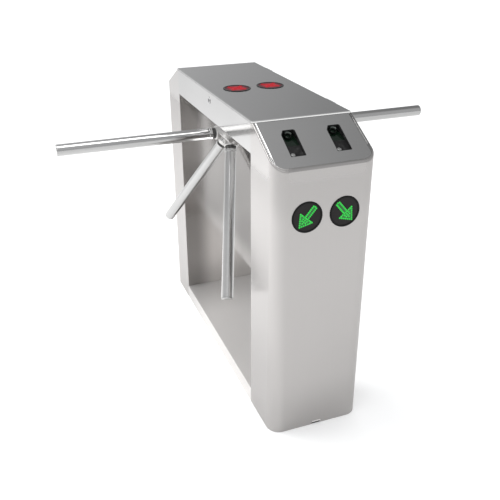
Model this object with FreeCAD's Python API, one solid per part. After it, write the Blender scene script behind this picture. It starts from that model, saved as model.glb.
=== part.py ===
import FreeCAD, Part
import math
import os

V = FreeCAD.Vector
os.makedirs("parts", exist_ok=True)

# Double-lane bridge-type tripod turnstile. Millimetres, +Z up, +X to the right-hand lane,
# -Y is the front end. The origin is on the floor, in the middle of the cabinet.

# ---------------------------------------------------------------- driving dimensions
W = 312.0            # cabinet width
L = 1116.0           # cabinet length
H = 980.0            # top of the lid
R = 42.0             # radius of the cabinet's vertical corners
T = 2.0              # stainless sheet
YT = 388.0           # half length of the flat top
Z_PANEL_TOP = 976.0  # where the slope starts, at y = +-YT
SLOPE_DROP = 88.0    # fall of the slope from YT to the end face
BEND = 12.0          # bend between slope and end face; it runs out round the corners
PANEL_T = 1.6        # sloping panel, let into the slope
PANEL_R, PANEL_FLANGE = 5.0, 7.0   # its rolled long edges
SIDE_R = 2.5         # folded long edges
YW = 377.0           # half length of the side window
Z0 = 52.0            # window sill = top of the base tray
Z1 = 885.0           # window head
LIP_R = 2.4          # bend round the window
BELLY_B = 737.6      # soffit faces lie on z = BELLY_B + |x|
BELLY_X = 40.0       # half width of the soffit's flat bottom
FLANGE = 1.0         # return flange at the window's upright edges
LID_Z = 976.0        # underside of the lid's rolled edge
LID_R = 3.0
LID_LIP = 966.0      # lower edge of the lid's inner flange

# readers in the slope
RD_X, RD_Y = 70.0, 470.5
RD_D = 24.0
RD_PLAN = [(-21.5, -51.0, 3.0), (24.0, -51.0, 3.0), (27.0, 52.0, 6.0), (-9.5, 52.0, 3.0), (-19.5, 35.0, 3.0)]   # right, up the slope, radius
RD_LAMP, RD_LAMP_R, RD_LAMP_GAP = (-12.5, -42.3), 6.6, 1.4
# direction displays in the end faces
AR_X, AR_Z, AR_R = 58.0, 746.0, 47.0
# lamps in the lid
CR_X, CR_R = 59.0, 46.0
# lock in the left rail
LOCK_Z = 949.0
# notch in the bottom edge of each end face
NOTCH_X, NOTCH_W, NOTCH_H = 3.0, 30.0, 9.0

# tripod: apex of the three arm axes, axis 45 degrees out and down
APEX = V(-82.0, 0.0, 838.0)
ARM_R, ARM_T, ARM_TIP = 19.0, 2.0, 576.0
SOCKET_R, SOCKET_END = 23.0, 58.0
NECK_R, COLLAR_R, COLLAR_0, COLLAR_1 = 13.0, 20.6, 69.0, 80.0   # root of each arm
HUB_R, HUB_BACK, HUB_FACE = 50.0, 15.0, 33.0
SHAFT_R = 12.5
FIT = 0.05           # running clearance on the radius
DISC_R, DISC_W0, DISC_W1 = 42.0, 48.0, 58.0
NOTCH_HALF, NOTCH_DEPTH = 9.5, 8.5
PAWL_Y, PAWL_U = 56.0, -30.0
PLUNGER_U = 18.0
LED_R, ARROW_LED_R = 2.3, 2.65

# anchors
ANCHOR_X, ANCHOR_Y, ANCHOR_R = 100.0, 470.0, 7.0

nodes = {}


def add(name, shape):
    shape = shape.removeSplitter()
    nodes[name] = shape


# ---------------------------------------------------------------- helpers
def box(x0, y0, z0, x1, y1, z1):
    return Part.makeBox(x1 - x0, y1 - y0, z1 - z0, V(x0, y0, z0))


def cyl(r, p, d, h):
    return Part.makeCylinder(r, h, V(*p), V(*d))


def cone(r0, r1, p, d, h):
    return Part.makeCone(r0, r1, h, V(*p), V(*d))


def fuse(shapes):
    out = shapes[0]
    for s in shapes[1:]:
        out = out.fuse(s)
    return out.removeSplitter()


def outline(points, place):
    """Closed wire through points (a, b) or (a, b, radius), placed by place(a, b)."""
    n = len(points)
    starts, ends, mids = [], [], []
    for i, p in enumerate(points):
        a = V(p[0], p[1], 0)
        r = p[2] if len(p) > 2 else 0.0
        if r <= 0:
            starts.append(a)
            ends.append(a)
            mids.append(None)
            continue
        q = V(points[i - 1][0], points[i - 1][1], 0)
        s = V(points[(i + 1) % n][0], points[(i + 1) % n][1], 0)
        d0 = (q - a).normalize()
        d1 = (s - a).normalize()
        half = d0.getAngle(d1) / 2
        t = r / math.tan(half)
        bis = (d0 + d1).normalize()
        c = a + bis * (r / math.sin(half))
        starts.append(a + d0 * t)
        ends.append(a + d1 * t)
        mids.append(c - bis * r)
    edges = []
    f = lambda v: place(v.x, v.y)
    for i in range(n):
        if mids[i] is not None:
            edges.append(Part.Arc(f(starts[i]), f(mids[i]), f(ends[i])).toShape())
        j = (i + 1) % n
        if (ends[i] - starts[j]).Length > 1e-6:
            edges.append(Part.LineSegment(f(ends[i]), f(starts[j])).toShape())
    return Part.Wire(edges)


def prism(points, place, direction):
    return Part.Face(outline(points, place)).extrude(V(*direction))


def in_xy(z):
    return lambda a, b: V(a, b, z)


def in_yz(x):
    return lambda a, b: V(x, a, b)


def in_xz(y):
    return lambda a, b: V(a, y, b)


def mirror_x(s):
    return s.mirror(V(0, 0, 0), V(1, 0, 0))


def mirror_y(s):
    return s.mirror(V(0, 0, 0), V(0, 1, 0))


def both_ends(s):
    return [s, mirror_y(s)]


def group(shapes):
    return Part.makeCompound(shapes)


# ---------------------------------------------------------------- cabinet
ALPHA = math.atan2(SLOPE_DROP, L / 2 - YT)
SLOPE = math.tan(ALPHA)
Z_RIM = LID_Z - 0.8     # top edge of the rails, under the lid


def slope_z(y, off=0.0):
    """Height of the panel's face at |y|, lowered by off along its normal."""
    return Z_PANEL_TOP - (abs(y) - YT) * SLOPE - off / math.cos(ALPHA)


def rounded_plan(w, l, r, z0, z1):
    return prism(
        [(-w / 2, -l / 2, r), (w / 2, -l / 2, r), (w / 2, l / 2, r), (-w / 2, l / 2, r)],
        in_xy(z0), (0, 0, z1 - z0))


def side_profile(l, off, bend, z_bottom, z_open=None):
    """The cabinet seen from the side: slopes, bends at the end faces, top."""
    e = l / 2
    z_end = slope_z(e, off)
    if z_open is None:
        top = [(YT, slope_z(YT, off)), (-YT, slope_z(YT, off))]
    else:
        y_in = YT - 6.0
        top = [(y_in, slope_z(y_in, off)), (y_in, z_open), (-y_in, z_open), (-y_in, slope_z(y_in, off))]
    return [(-e, z_bottom), (e, z_bottom), (e, z_end, bend)] + top + [(-e, z_end, bend)]


def bend_slopes(solid, w, l, off, r_side, r_end):
    """Rounds the slopes' outer edges: r_side along the sides, r_end at the end face, one running into the other at the corners."""
    doc = FreeCAD.newDocument()
    base = doc.addObject("Part::Feature", "Base")
    base.Shape = solid
    cut = doc.addObject("Part::Fillet", "Cut")
    cut.Base = base
    rows = []
    for i, e in enumerate(base.Shape.Edges, 1):
        ends = [v.Point for v in e.Vertexes]
        if len(ends) != 2 or any(abs(q.z - slope_z(q.y, off)) > 1e-3 for q in ends):
            continue
        if min(abs(q.y) for q in ends) < YT - 6.5:
            continue
        side = [abs(abs(q.x) - w / 2) < 1e-3 for q in ends]
        end = [abs(abs(q.y) - l / 2) < 1e-3 for q in ends]
        if not all(a or b for a, b in zip(side, end)):
            continue
        if all(side) and abs(ends[0].x - ends[1].x) > 1:
            continue
        rows.append((i, r_side if side[0] else r_end, r_side if side[1] else r_end))
    cut.Edges = rows
    doc.recompute()
    out = cut.Shape.copy()
    FreeCAD.closeDocument(doc.Name)
    return out


outer = bend_slopes(rounded_plan(W, L, R, 0, 1100).common(
    prism(side_profile(L, 0, 0, 0), in_yz(-200), (400, 0, 0))), W, L, 0, SIDE_R, BEND)
outer = outer.common(Part.makeBox(800, 2400, Z_RIM, V(-400, -1200, 0)))
inner = bend_slopes(rounded_plan(W - 2 * T, L - 2 * T, R - T, -10, 1100).common(
    prism(side_profile(L - 2 * T, T, 0, -10, 1000), in_yz(-200), (400, 0, 0))), W - 2 * T, L - 2 * T, T, SIDE_R - T, BEND - T)


# the way through under the bridge
def way_through(y, grow):
    g = grow * math.sqrt(2)
    lip = Z1 + grow - BELLY_B - g
    low = BELLY_B + BELLY_X
    xb = low + grow - BELLY_B - g
    pts = [(-200, Z0 - grow), (200, Z0 - grow), (200, Z1 + grow), (lip, Z1 + grow), (xb, low + grow),
           (-xb, low + grow), (-lip, Z1 + grow), (-200, Z1 + grow)]
    return prism(pts, in_xz(-y), (0, 2 * y, 0))


def round_window(solid, w, y, z0, z1, r):
    picked = []
    for e in solid.Edges:
        b = e.BoundBox
        if abs(abs(b.XMin) - w / 2) > 1e-3 or abs(b.XMax - b.XMin) > 1e-3:
            continue
        upright = abs(abs(b.YMin) - y) < 1e-3 and b.YLength < 1e-3 and b.ZMin > z0 - 1 and b.ZMax < z1 + 1
        level = b.ZLength < 1e-3 and (abs(b.ZMin - z0) < 1e-3 or abs(b.ZMin - z1) < 1e-3) and b.YMax < y + 1 and b.YMin > -y - 1
        if upright or level:
            picked.append(e)
    return solid.makeFillet(r, picked)


skin_out = round_window(outer.cut(way_through(YW, 0)), W, YW, Z0, Z1, LIP_R)
skin_in = round_window(inner.cut(way_through(YW + T, T)), W - 2 * T, YW + T, Z0 - T, Z1 + T, LIP_R - T)
skin = skin_out.cut(skin_in)

FAR = 2000
front_region = box(-FAR, -FAR, -1, FAR, -YW, FAR)
rear_region = box(-FAR, YW, -1, FAR, FAR, FAR)
middle = box(-FAR, -YW, -1, FAR, YW, FAR)

# inner panels close the pedestals towards the window
PX = W / 2 - T - FLANGE
PANEL_Z0, PANEL_Z1 = Z0 + 0.4, Z1 - 0.4
PANEL_TOP_X = Z1 - BELLY_B    # where the soffit's slope meets the window head


def niche_plan(px, z0, drop):
    half = [(px, z0), (px, Z1 - drop), (PANEL_TOP_X, Z1 - drop), (BELLY_X, BELLY_B + BELLY_X - drop)]
    return half + [(-a, b) for a, b in reversed(half)]


niche_wall = prism(niche_plan(PX, Z0 + 0.4, 0.6), in_xz(-YW - T), (0, T, 0))
niche_cut = prism(niche_plan(PX + 0.5, Z0 - 0.1, 0.1), in_xz(-YW - T - 1), (0, T + 2, 0))

# sloping panel: a folded plate let into an opening of the slope, with a groove along its long edges
PN_X, PN_Y0, PN_Y1, PN_R = 148.5, 389.2, 550.0, 32.0
PN_GROOVE, PN_GAP = 2.0, 0.2


def panel_plan(gx, gy, r):
    return [(-PN_X - gx, -PN_Y0 + gy), (-PN_X - gx, -PN_Y1 - gy, r), (PN_X + gx, -PN_Y1 - gy, r), (PN_X + gx, -PN_Y0 + gy)]


def slope_slab(lift0, lift1):
    """Everything between two planes parallel to the front slope, measured from the panel's face."""
    y0, y1 = -YT + 30, -L / 2 - 30
    f = lambda y, off: Z_PANEL_TOP - (-y - YT) * SLOPE - off / math.cos(ALPHA)
    return prism([(y0, f(y0, lift0)), (y1, f(y1, lift0)), (y1, f(y1, lift1)), (y0, f(y0, lift1))], in_yz(-200), (400, 0, 0))


slope_opening = prism(panel_plan(PN_GROOVE, PN_GAP, PN_R + 1.2), in_xy(700), (0, 0, 400)).common(slope_slab(-5, T + 6))
slope_opening = slope_opening.cut(box(-200, -YT, 700, 200, 0, 1100))


# reader places, in the slope's own directions
def on_slope(x):
    """Frame of a reader: right, up the slope, out of the slope."""
    up = V(0, math.cos(ALPHA), math.sin(ALPHA))
    out = V(0, -math.sin(ALPHA), math.cos(ALPHA))
    o = V(x, -RD_Y, slope_z(RD_Y))
    return lambda a, b, c: o + V(a, 0, 0) + up * b + out * c, out


def reader_prism(x, grow, c0, c1):
    """A reader's plan, grown by grow, from c0 to c1 along the slope's normal."""
    at, out = on_slope(x)
    wire = outline(RD_PLAN, lambda a, b: at(a, b, c0))
    if grow:
        wire = wire.makeOffset2D(grow)
    return Part.Face(wire).extrude(out * (c1 - c0))


at0, out0 = on_slope(0.0)
px, pf, pt = PN_X, PANEL_FLANGE, PANEL_T
section = outline([(-px, -pf), (-px, 0, PANEL_R), (px, 0, PANEL_R), (px, -pf), (px - pt, -pf), (px - pt, -pt, PANEL_R - pt),
                   (-px + pt, -pt, PANEL_R - pt), (-px + pt, -pf)], lambda a, c: at0(a, -120, c))
reader_panel = Part.Face(section).extrude(at0(0, 120, 0) - at0(0, -120, 0)).common(prism(panel_plan(0, 0, PN_R), in_xy(700), (0, 0, 400)))
# ledges of the shell that carry it
ledges = []
for s in (-1, 1):
    ledges.append(Part.Face(Part.makePolygon([at0(s * a, -52, c) for a, c in ((154.5, -pf - 0.1), (139, -pf - 0.1), (139, -pf - 2.1), (154.5, -pf - 2.1), (154.5, -pf - 0.1))])).extrude(
        at0(0, 88, 0) - at0(0, -52, 0)))
ledges.append(prism([(-112, -538), (112, -538), (112, -554), (-112, -554)], in_xy(700), (0, 0, 400)).common(slope_slab(pt + 0.1, pt + 2.1)))
for x in (-RD_X, RD_X):
    reader_panel = reader_panel.cut(reader_prism(x, 0, -10, 5))
add("reader_panels", group(both_ends(reader_panel.removeSplitter())))

# reader units: a tray, a tilted window in its upper part, a dark plate below, a round lamp
trays, windows, lamps = [], [], []
for x in (-RD_X, RD_X):
    at, out = on_slope(x)
    tray = reader_prism(x, -0.4, -RD_D, -0.4).cut(reader_prism(x, -2.4, -RD_D + 2.5, 1))
    flange = reader_prism(x, 4.6, -PANEL_T - 2.6, -PANEL_T - 0.6).cut(reader_prism(x, -1.4, -PANEL_T - 4, 1))
    tray = tray.fuse(flange)
    # window: a slab tilted about the reader's width
    b0, b1 = -6.0, 60.0
    fall = 11.0 / 54.0
    slab = [at(-40, b0, -6.5), at(-40, b1, -6.5 - (b1 - b0) * fall), at(-40, b1, -9.0 - (b1 - b0) * fall), at(-40, b0, -9.0), at(-40, b0, -6.5)]
    win = Part.Face(Part.makePolygon(slab)).extrude(V(80, 0, 0)).common(reader_prism(x, -2.7, -RD_D + 2.6, 0))
    low = Part.Face(Part.makePolygon([at(-40, -60, -5.0), at(-40, b0 - 0.4, -5.0), at(-40, b0 - 0.4, -8.0), at(-40, -60, -8.0), at(-40, -60, -5.0)])).extrude(
        V(80, 0, 0)).common(reader_prism(x, -1.4, -RD_D, 0))
    la, lb = RD_LAMP
    lamp = cyl(RD_LAMP_R, at(la, lb, -8.0), out, 6.4)
    lamp = lamp.makeFillet(1.2, [e for e in lamp.Edges if len(e.Vertexes) == 1 and (e.CenterOfMass - at(la, lb, -1.6)).Length < 0.1])
    lamp = lamp.cut(cyl(RD_LAMP_R - 1.9, at(la, lb, -2.6), out, 3)).fuse(
        Part.makeSphere(9.0, at(la, lb, -10.7)).common(cyl(RD_LAMP_R - 2.6, at(la, lb, -6.0), out, 8))).fuse(
        cyl(5.0, at(la, lb, -RD_D + 2.5), out, 14)).removeSplitter()
    tray = tray.fuse(low).removeSplitter().cut(cyl(RD_LAMP_R + RD_LAMP_GAP, at(la, lb, -9.0), out, 12))
    trays += both_ends(max(tray.Solids, key=lambda t: t.Volume))
    windows += both_ends(win)
    lamps += both_ends(lamp)
add("reader_trays", group(trays))
add("reader_windows", group(windows))
add("reader_lamps", group(lamps))

# pedestal shells
front_shell = fuse([skin.common(front_region).cut(niche_cut).cut(slope_opening)] + ledges)
front_shell = front_shell.cut(box(NOTCH_X - NOTCH_W / 2, -L / 2 - 5, -5, NOTCH_X + NOTCH_W / 2, -L / 2 + 5, NOTCH_H))
lip = prism([(-L / 2 + T, NOTCH_H), (-L / 2 - 2.2, NOTCH_H), (-L / 2 - 2.2, NOTCH_H + 1.4), (-L / 2, NOTCH_H + 3.2), (-L / 2 + T, NOTCH_H + 3.2)],
            in_yz(NOTCH_X - NOTCH_W / 2), (NOTCH_W, 0, 0))
front_shell = front_shell.fuse(lip)
for x in (-AR_X, AR_X):
    front_shell = front_shell.cut(cyl(AR_R - 3.5, (x, -L / 2 - 5, AR_Z), (0, 1, 0), 20))
front_shell = front_shell.cut(reader_prism(-RD_X, 6, -40, 10)).cut(reader_prism(RD_X, 6, -40, 10))
add("front_pedestal_shell", front_shell)
add("rear_pedestal_shell", mirror_y(front_shell))
add("inner_panels", group(both_ends(niche_wall)))

# base tray, rails and soffit
base = skin.common(middle).common(box(-FAR, -FAR, -1, FAR, FAR, Z0 + 1))
add("base_tray", base)
SOFFIT_X = Z1 - BELLY_B - 0.2
bridge = skin.common(middle).common(box(-FAR, -FAR, Z0 + 100, FAR, FAR, FAR))
rails = bridge.cut(box(-SOFFIT_X, -FAR, 0, SOFFIT_X, FAR, FAR))
left_rail = rails.common(box(-FAR, -FAR, 0, 0, FAR, FAR))
right_rail = rails.common(box(0, -FAR, 0, FAR, FAR, FAR))
soffit = bridge.common(box(-SOFFIT_X, -FAR, 0, SOFFIT_X, FAR, FAR))

# ---------------------------------------------------------------- one tripod, in its own directions
C45 = math.sqrt(0.5)
Uv = V(-C45, 0, C45)
Wv = V(C45, 0, C45)      # inwards along the tripod's axis


def tri(y, u, w):
    return APEX + V(0, y, 0) + Uv * u + Wv * w


tri_place = FreeCAD.Matrix(0, Uv.x, Wv.x, APEX.x, 1, Uv.y, Wv.y, APEX.y, 0, Uv.z, Wv.z, APEX.z, 0, 0, 0, 1)


def to_left(s):
    return s.transformed(tri_place)


def both_sides(name, s):
    s = to_left(s)
    add("left_" + name, s)
    add("right_" + name, mirror_x(s))


def four(s):
    """A piece of the left rear corner, and its copies at the other three."""
    s = to_left(s)
    return [s, mirror_y(s), mirror_x(s), mirror_x(mirror_y(s))]


Z = (0, 0, 1)
BELLY_W = -13.0          # outer face of the soffit, along the axis
PLATE_W0, PLATE_W1 = BELLY_W + T, -3.0

# holes of the soffit: shaft and the mechanism's studs
STUDS = [(y, u) for y in (-82, 82) for u in (-54, 58)]
shaft_hole = to_left(cyl(SHAFT_R + 3, (0, 0, -20), Z, 15))
soffit = soffit.cut(shaft_hole).cut(mirror_x(shaft_hole))
add("bridge_soffit", soffit)

plate = Part.makeBox(190, 136, PLATE_W1 - PLATE_W0, V(-95, -66, PLATE_W0)).cut(cyl(30, (0, 0, -20), Z, 40))
studs = []
for y, u in STUDS:
    plate = plate.cut(cyl(4.2, (y, u, -20), Z, 40))
    studs.append(cyl(4.0, (y, u, PLATE_W0), Z, 14).fuse(
        prism([(y + 6.5 * math.cos(math.radians(60 * k)), u + 6.5 * math.sin(math.radians(60 * k))) for k in range(6)], in_xy(PLATE_W1), (0, 0, 5))).removeSplitter())
HOUSING_SCREWS = [(38 * math.cos(math.radians(a)), 38 * math.sin(math.radians(a))) for a in (45, 135, 225, 315)]
plate = to_left(plate.removeSplitter())
add("mechanism_plates", group([plate, mirror_x(plate)]))
studs = [to_left(s) for s in studs]

# bearing housing with two ball bearings
housing = fuse([cyl(29.95, (0, 0, PLATE_W0 + 0.5), Z, 8), cyl(46, (0, 0, PLATE_W1), Z, 8), cyl(33, (0, 0, PLATE_W1), Z, 43)])
housing = housing.cut(cyl(26, (0, 0, -9), Z, 60)).cut(cyl(20, (0, 0, -20), Z, 80))
screws = []
for y, u in HOUSING_SCREWS:
    housing = housing.cut(cyl(3.3, (y, u, PLATE_W1 - 1), Z, 10))
    screws.append(cyl(3.0, (y, u, PLATE_W1 - 0), Z, 8).fuse(cyl(5.0, (y, u, PLATE_W1 + 8), Z, 5)).cut(
        prism([(y + 2.6 * math.cos(math.radians(60 * k)), u + 2.6 * math.sin(math.radians(60 * k))) for k in range(6)], in_xy(PLATE_W1 + 10), (0, 0, 5))))
housing = to_left(housing.removeSplitter())
add("bearing_housings", group([housing, mirror_x(housing)]))
screws = studs + [to_left(s.removeSplitter()) for s in screws]
add("mechanism_fasteners", group(screws + [mirror_x(s) for s in screws]))


def bearing(w):
    ring_out = cyl(25.98, (0, 0, w), Z, 15).cut(cyl(22.5, (0, 0, w - 1), Z, 17))
    ring_in = cyl(16.2, (0, 0, w), Z, 15).cut(cyl(SHAFT_R + FIT, (0, 0, w - 1), Z, 17))
    shield = cyl(22.5, (0, 0, w + 1), Z, 13).cut(cyl(16.2, (0, 0, w), Z, 16))
    return fuse([ring_out, shield, ring_in])


bearings = [to_left(bearing(-8)), to_left(bearing(24))]
add("ball_bearings", group(bearings + [mirror_x(b) for b in bearings]))

# rotor: shaft, index disc, nut, hub, arms
shaft = fuse([cyl(SHAFT_R, (0, 0, -29), Z, 29 + DISC_W1 + 4), cyl(15.5, (0, 0, 39.6), Z, DISC_W0 - 39.6)])
both_sides("shaft", shaft)
disc = cyl(DISC_R, (0, 0, DISC_W0), Z, DISC_W1 - DISC_W0).cut(cyl(SHAFT_R, (0, 0, DISC_W0 - 1), Z, 20))
for k in range(6):
    n = Part.makeBox(20, 2 * NOTCH_HALF, 30, V(DISC_R - NOTCH_DEPTH, -NOTCH_HALF, DISC_W0 - 5))
    n.rotate(V(0, 0, 0), V(0, 0, 1), 60 * k)
    disc = disc.cut(n)
both_sides("index_disc", disc)

ARMS = {"top": 90.0, "rear": -30.0, "front": 210.0}


def arm_dir(deg):
    a = math.radians(deg)
    return V(C45 * math.cos(a), C45 * math.sin(a), -C45)


hub = cyl(HUB_R, (0, 0, -HUB_FACE), Z, HUB_FACE - HUB_BACK)
hub = hub.makeFillet(4.0, [e for e in hub.Edges if abs(e.BoundBox.ZLength) < 1e-3 and e.BoundBox.XLength > 90])
for deg in ARMS.values():
    d = arm_dir(deg)
    boss = Part.makeCylinder(SOCKET_R, SOCKET_END - 18, d * 18, d)
    ends = [e for e in boss.Edges if len(e.Vertexes) == 1 and (e.CenterOfMass - d * SOCKET_END).Length < 1]
    boss = boss.makeFillet(4.0, ends)
    hub = hub.fuse(boss)
hub = hub.cut(box(-200, -200, -HUB_BACK, 200, 200, 200)).removeSplitter()
for deg in ARMS.values():
    d = arm_dir(deg)
    hub = hub.cut(Part.makeCylinder(NECK_R + 0.05, 100, d * 34, d))
hub = hub.cut(cyl(SHAFT_R, (0, 0, -29), Z, 40))
hub = hub.cut(cyl(5.2, (0, 0, -80), Z, 80))
both_sides("hub", hub)
cap = fuse([cyl(5.0, (0, 0, -45), Z, 14), cone(9, 12.9, (0, 0, -46), Z, 11), cone(6, 9, (0, 0, -47.5), Z, 1.5)])
cap = max(cap.cut(hub).Solids, key=lambda s: s.Volume)
both_sides("hub_cap", cap)

plugs = []
for name, deg in ARMS.items():
    d = arm_dir(deg)
    root = Part.makeCylinder(COLLAR_R, COLLAR_1 - COLLAR_0, d * COLLAR_0, d)
    root = root.makeFillet(2.0, [e for e in root.Edges if len(e.Vertexes) == 1])
    tube = Part.makeCylinder(ARM_R, ARM_TIP - 4.4 - COLLAR_0 - 4, d * (COLLAR_0 + 4), d).cut(Part.makeCylinder(ARM_R - ARM_T, 700, d * (COLLAR_1 + 4), d))
    spigot = Part.makeCylinder(NECK_R, COLLAR_0 + 4 - 36, d * 36, d)
    both_sides("arm_" + name, fuse([tube, root, spigot]))
    plug = Part.makeCylinder(ARM_R, 4.0, d * (ARM_TIP - 4.0), d)
    rim = [e for e in plug.Edges if len(e.Vertexes) == 1 and (e.CenterOfMass - d * ARM_TIP).Length < 0.1]
    plug = plug.makeFillet(2.5, rim).fuse(Part.makeCylinder(ARM_R - ARM_T - 0.05, 18, d * (ARM_TIP - 22), d)).removeSplitter()
    plugs.append(to_left(plug))
add("left_arm_plugs", group(plugs))
add("right_arm_plugs", group([mirror_x(p) for p in plugs]))

# locking pawls on posts, pushed by solenoids
pawl = prism([(50, PAWL_U), (50, -8), (42.7, -4.2), (42.7, 4.2), (50, 6), (50, 24), (62, 24), (62, PAWL_U)], in_xy(DISC_W0), (0, 0, 10))
pawl = pawl.fuse(cyl(9, (PAWL_Y, PAWL_U, DISC_W0), Z, 10)).removeSplitter().cut(cyl(5 + FIT, (PAWL_Y, PAWL_U, 0), Z, 100))
for name, s in zip(("left_rear_pawl", "left_front_pawl", "right_rear_pawl", "right_front_pawl"), four(pawl)):
    add(name, s)
post = fuse([cyl(8, (PAWL_Y, PAWL_U, PLATE_W1), Z, DISC_W0 - 0.4 - PLATE_W1), cyl(5, (PAWL_Y, PAWL_U, DISC_W0 - 1), Z, 15),
             cyl(7.5, (PAWL_Y, PAWL_U, DISC_W1 + 0.4), Z, 1.6)])
add("pawl_posts", group(four(post)))
sol = Part.makeBox(46, 30, 30, V(84, PLUNGER_U - 15, 38)).cut(cyl(5.3, (80, PLUNGER_U, 53), (1, 0, 0), 46))
sol = sol.makeFillet(3, [e for e in sol.Edges if abs(e.BoundBox.XLength - 46) < 1e-3])
bracket = Part.makeBox(30, 24, 38 - PLATE_W1, V(92, PLUNGER_U - 12, PLATE_W1)).cut(Part.makeBox(24, 40, 38 - PLATE_W1 - 8, V(95, PLUNGER_U - 20, PLATE_W1 + 4)))
add("solenoids", group(four(sol.fuse(bracket).removeSplitter())))
plunger = cyl(5, (67.5, PLUNGER_U, 53), (1, 0, 0), 50).fuse(Part.makeSphere(5, V(67.5, PLUNGER_U, 53))).removeSplitter()
for name, s in zip(("left_rear_plunger", "left_front_plunger", "right_rear_plunger", "right_front_plunger"), four(plunger)):
    add(name, s)

# ---------------------------------------------------------------- lid, hinges, lock
HINGE_X, HINGE_Z = W / 2 + 2.6, LID_Z
lid = box(-W / 2, -YT, LID_Z, W / 2, YT, H)
lid = lid.makeFillet(LID_R, [e for e in lid.Edges if e.BoundBox.YLength > 700 and e.BoundBox.ZMin > H - 1])
lid = lid.makeFillet(1.2, [e for e in lid.Edges if e.BoundBox.XLength > 290 and e.BoundBox.YLength < 0.01 and e.BoundBox.ZMin > H - 0.01])
lid = lid.cut(box(-W / 2 + T, -YT + T, LID_Z - 5, W / 2 - T, YT - T, H - T))
for x0 in (-152.0, 150.5):
    lid = lid.fuse(box(x0, -YT + 12, LID_LIP, x0 + 1.5, YT - 12, H - T))
lid = lid.cut(box(151, -FAR, 0, 200, FAR, H - T)).removeSplitter()
HY = 250.0
for y in (-HY, HY):
    lid = lid.cut(box(145, y - 40, LID_LIP - 1, 153, y + 40, H - T))
for x in (-CR_X, CR_X):
    lid = lid.cut(cyl(CR_R - 3.5, (x, 0, H - 10), Z, 20))
add("top_lid", lid)

KN = 2.6
lid_leaves, body_leaves, pins = [], [], []
for y in (-HY, HY):
    leaf = box(128, y - 30, LID_Z + 0.2, HINGE_X, y + 30, H - T)
    leaf = leaf.cut(box(155.7, y - 40, 0, 200, y - 9.7, 2000)).cut(box(155.7, y + 9.7, 0, 200, y + 40, 2000))
    leaf = leaf.cut(box(HINGE_X - KN - 0.2, y - 9.7, LID_Z + 0.2, 200, y + 9.7, LID_Z + 40)).fuse(box(HINGE_X - KN - 0.3, y - 9.7, LID_Z + 0.2, HINGE_X - 1.2, y + 9.7, LID_Z + 1.6))
    leaf = leaf.fuse(cyl(KN, (HINGE_X, y - 9.7, HINGE_Z), (0, 1, 0), 19.4)).cut(cyl(1.5 + FIT, (HINGE_X, y - 50, HINGE_Z), (0, 1, 0), 100))
    lid_leaves.append(leaf.removeSplitter())
    bl = box(128, y - 30, Z_RIM, HINGE_X - 1.2, y + 30, LID_Z - 0.2)
    bl = bl.cut(box(155.7, y - 10.0, 0, 200, y + 10.0, 2000))
    for y0 in (y - 30, y + 10):
        bl = bl.fuse(cyl(KN, (HINGE_X, y0, HINGE_Z), (0, 1, 0), 20))
    bl = bl.cut(cyl(1.5, (HINGE_X, y - 50, HINGE_Z), (0, 1, 0), 100)).removeSplitter()
    body_leaves.append(bl)
    pins.append(cyl(1.5, (HINGE_X, y - 31, HINGE_Z), (0, 1, 0), 62))
add("lid_hinge_leaves", group(lid_leaves))
add("body_hinge_leaves", group(body_leaves))
add("hinge_pins", group(pins))

# the right rail carries the hinges on a folded-in top flange
for y in (-HY, HY):
    right_rail = right_rail.fuse(box(128, y - 36, Z_RIM - 2, W / 2 - T, y + 36, Z_RIM))
right_rail = right_rail.removeSplitter()
lock_hole = cyl(9.6, (-W / 2 - 5, 0, LOCK_Z), (1, 0, 0), 20)
left_rail = left_rail.cut(lock_hole)
add("left_side_rail", left_rail)
add("right_side_rail", right_rail)

barrel = fuse([cyl(11.5, (-W / 2 - 1.6, 0, LOCK_Z), (1, 0, 0), 1.6), cyl(9.5, (-W / 2, 0, LOCK_Z), (1, 0, 0), 22),
               cyl(12.5, (-W / 2 + T, 0, LOCK_Z), (1, 0, 0), 4)])
barrel = barrel.cut(cyl(6.5 + FIT, (-W / 2 - 10, 0, LOCK_Z), (1, 0, 0), 60))
add("lock_barrel", barrel)
plug = cyl(6.5, (-W / 2 - 1.9, 0, LOCK_Z), (1, 0, 0), 24.6).fuse(cyl(3.5, (-W / 2 + 20, 0, LOCK_Z), (1, 0, 0), 8)).removeSplitter()
plug = plug.cut(box(-W / 2 - 5, -0.9, LOCK_Z - 4.2, -W / 2 + 4, 0.9, LOCK_Z + 4.2))
add("lock_plug", plug)
cam = fuse([cyl(8, (-133.2, 0, LOCK_Z), (1, 0, 0), 3), box(-133.2, -5, LOCK_Z, -130.2, 5, LOCK_Z + 15)]).cut(cyl(3.5, (-150, 0, LOCK_Z), (1, 0, 0), 40))
add("lock_cam", cam)
catch = fuse([box(-128, 9, 940, -126, 30, H - T), box(-135, 9, 940, -126, 30, 942), box(-128, 9, H - T - 2, -108, 30, H - T)])
add("lid_catch", catch)

# ---------------------------------------------------------------- displays
PITCH = 5.6
ARROW_DIP = 50.0     # degrees below the level


def light(p, d, r):
    """A lamp of a display: a round pin with a domed end along d."""
    p, d = V(*p), V(*d)
    return Part.makeCylinder(r, 3.4, p, d * -1).fuse(Part.makeSphere(r, p)).removeSplitter()


def arrow_dots():
    """Dots of an arrow along +p, q across, centred."""
    dots = [(-36.4, 0.0), (4.6, 0.0), (35.8, 0.0), (10.6, 0.0), (16.6, 0.0), (22.6, 0.0)]
    for q in (-1, 1):
        dots += [(-34.6 + PITCH * k, q * 5.4) for k in range(7)]
        dots += [(4.6, q * (5.4 + 5.8 * k)) for k in range(4)]
        dots += [(4.6 + 5.2 * k, q * 22.8 * (1 - k / 6.0)) for k in range(1, 6)]
        dots += [(10.6, q * 7.5), (16.6, q * 6.3)]
    return dots


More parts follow.
